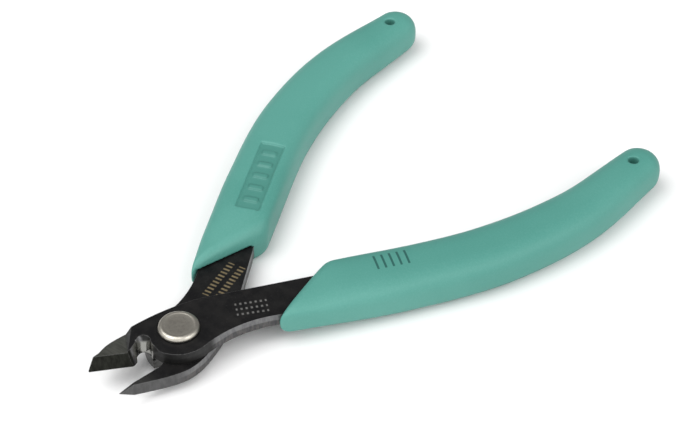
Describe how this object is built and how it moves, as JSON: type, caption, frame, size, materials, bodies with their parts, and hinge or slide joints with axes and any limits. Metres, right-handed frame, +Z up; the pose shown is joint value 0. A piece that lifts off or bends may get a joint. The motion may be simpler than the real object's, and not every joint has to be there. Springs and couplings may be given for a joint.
{
  "type": "diagonal cutting pliers",
  "caption": "Slim lapped cutting pliers with a pointed shearing jaw, a smooth-headed pivot screw, a hidden return spring and two long curved moulded grips.",
  "frame": {"origin": "on the surface the pliers rest on, under the middle of their length and width; the pivot axis stands 49.1 mm towards the jaws and the lap plane is 5.4 mm up", "axes": "+Y towards the jaws, +Z up along the pivot axis, +X across the handles"},
  "size_m": [0.091, 0.139, 0.0108],
  "materials": {
    "black_steel": "black oxide, satin, with bare grey stamped edges",
    "green_grip": "soft matte moulded elastomer",
    "satin_nickel": "satin, fine machined rings",
    "spring_wire": "drawn wire"
  },
  "bodies": {
    "lower_half": {"lower_blade": "black_steel", "lower_grip": "green_grip", "pivot_screw": "satin_nickel", "pivot_washer": "satin_nickel", "pivot_nut": "satin_nickel", "return_spring": "spring_wire"},
    "upper_half": {"upper_blade": "black_steel", "upper_grip": "green_grip"}
  },
  "joints": [
    {"name": "pivot", "type": "hinge", "parent": "lower_half", "child": "upper_half", "pos_m": [0, 0.0491, 0.0054], "axis": [0, 0, 1], "range_deg": [0, 26], "stiffness_Nm_per_rad": 0.5, "springref_deg": -6.88, "deforming": ["return_spring"]}
  ]
}
